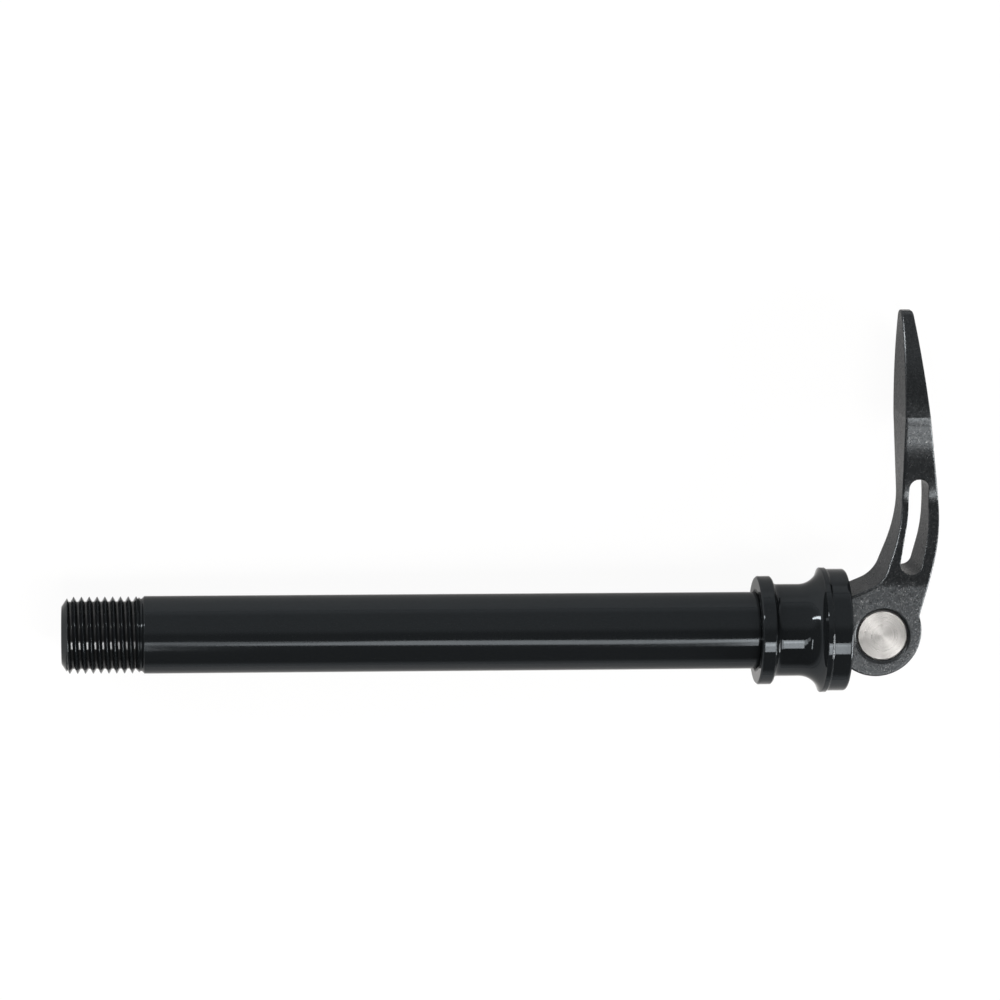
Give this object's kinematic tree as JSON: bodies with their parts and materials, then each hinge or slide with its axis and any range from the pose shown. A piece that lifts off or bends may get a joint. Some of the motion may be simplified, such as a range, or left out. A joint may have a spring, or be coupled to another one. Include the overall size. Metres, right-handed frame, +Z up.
{
  "type": "bicycle thru axle",
  "caption": "Threaded bicycle thru axle with a clamp collar that slides on its end and a cam lever on a cross barrel.",
  "frame": {"origin": "centre of the collar's clamp face on the axle axis, lever closed", "axes": "+X along the floor under the axle, from the thread to the lever; +Y along the floor up the closed lever; +Z up, with the axle lying as it comes to rest on bead, thread end and paddle"},
  "size_m": [0.1703, 0.0748, 0.0244],
  "materials": {
    "gloss_black_anodised": "gloss",
    "blasted_black_anodised": "satin",
    "black_acetal": "matte",
    "turned_steel": "turned"
  },
  "bodies": {
    "axle": {"axle_shaft": "gloss_black_anodised", "pivot_barrel": "turned_steel"},
    "lever": {"cam_lever": "blasted_black_anodised"},
    "saddle": {"cam_saddle": "black_acetal"},
    "collar": {"clamp_collar": "gloss_black_anodised"}
  },
  "joints": [
    {"name": "lever_swing", "type": "hinge", "parent": "axle", "child": "lever", "pos_m": [0.02399, 0, 0.00078], "axis": [0.0322, -0.1234, -0.9918], "range_deg": [0, 135]},
    {"name": "saddle_slide", "type": "slide", "parent": "axle", "child": "saddle", "axis": [0.9995, 0, 0.0324], "range_m": [0, 0.0022]},
    {"name": "collar_spin", "type": "hinge", "parent": "saddle", "child": "collar", "pos_m": [0, 0, 0], "axis": [0.9995, 0, 0.0324], "continuous": true}
  ],
  "couplings": [
    {"joint": "saddle_slide", "follows": "lever_swing", "m_per_rad": 0.00088}
  ]
}
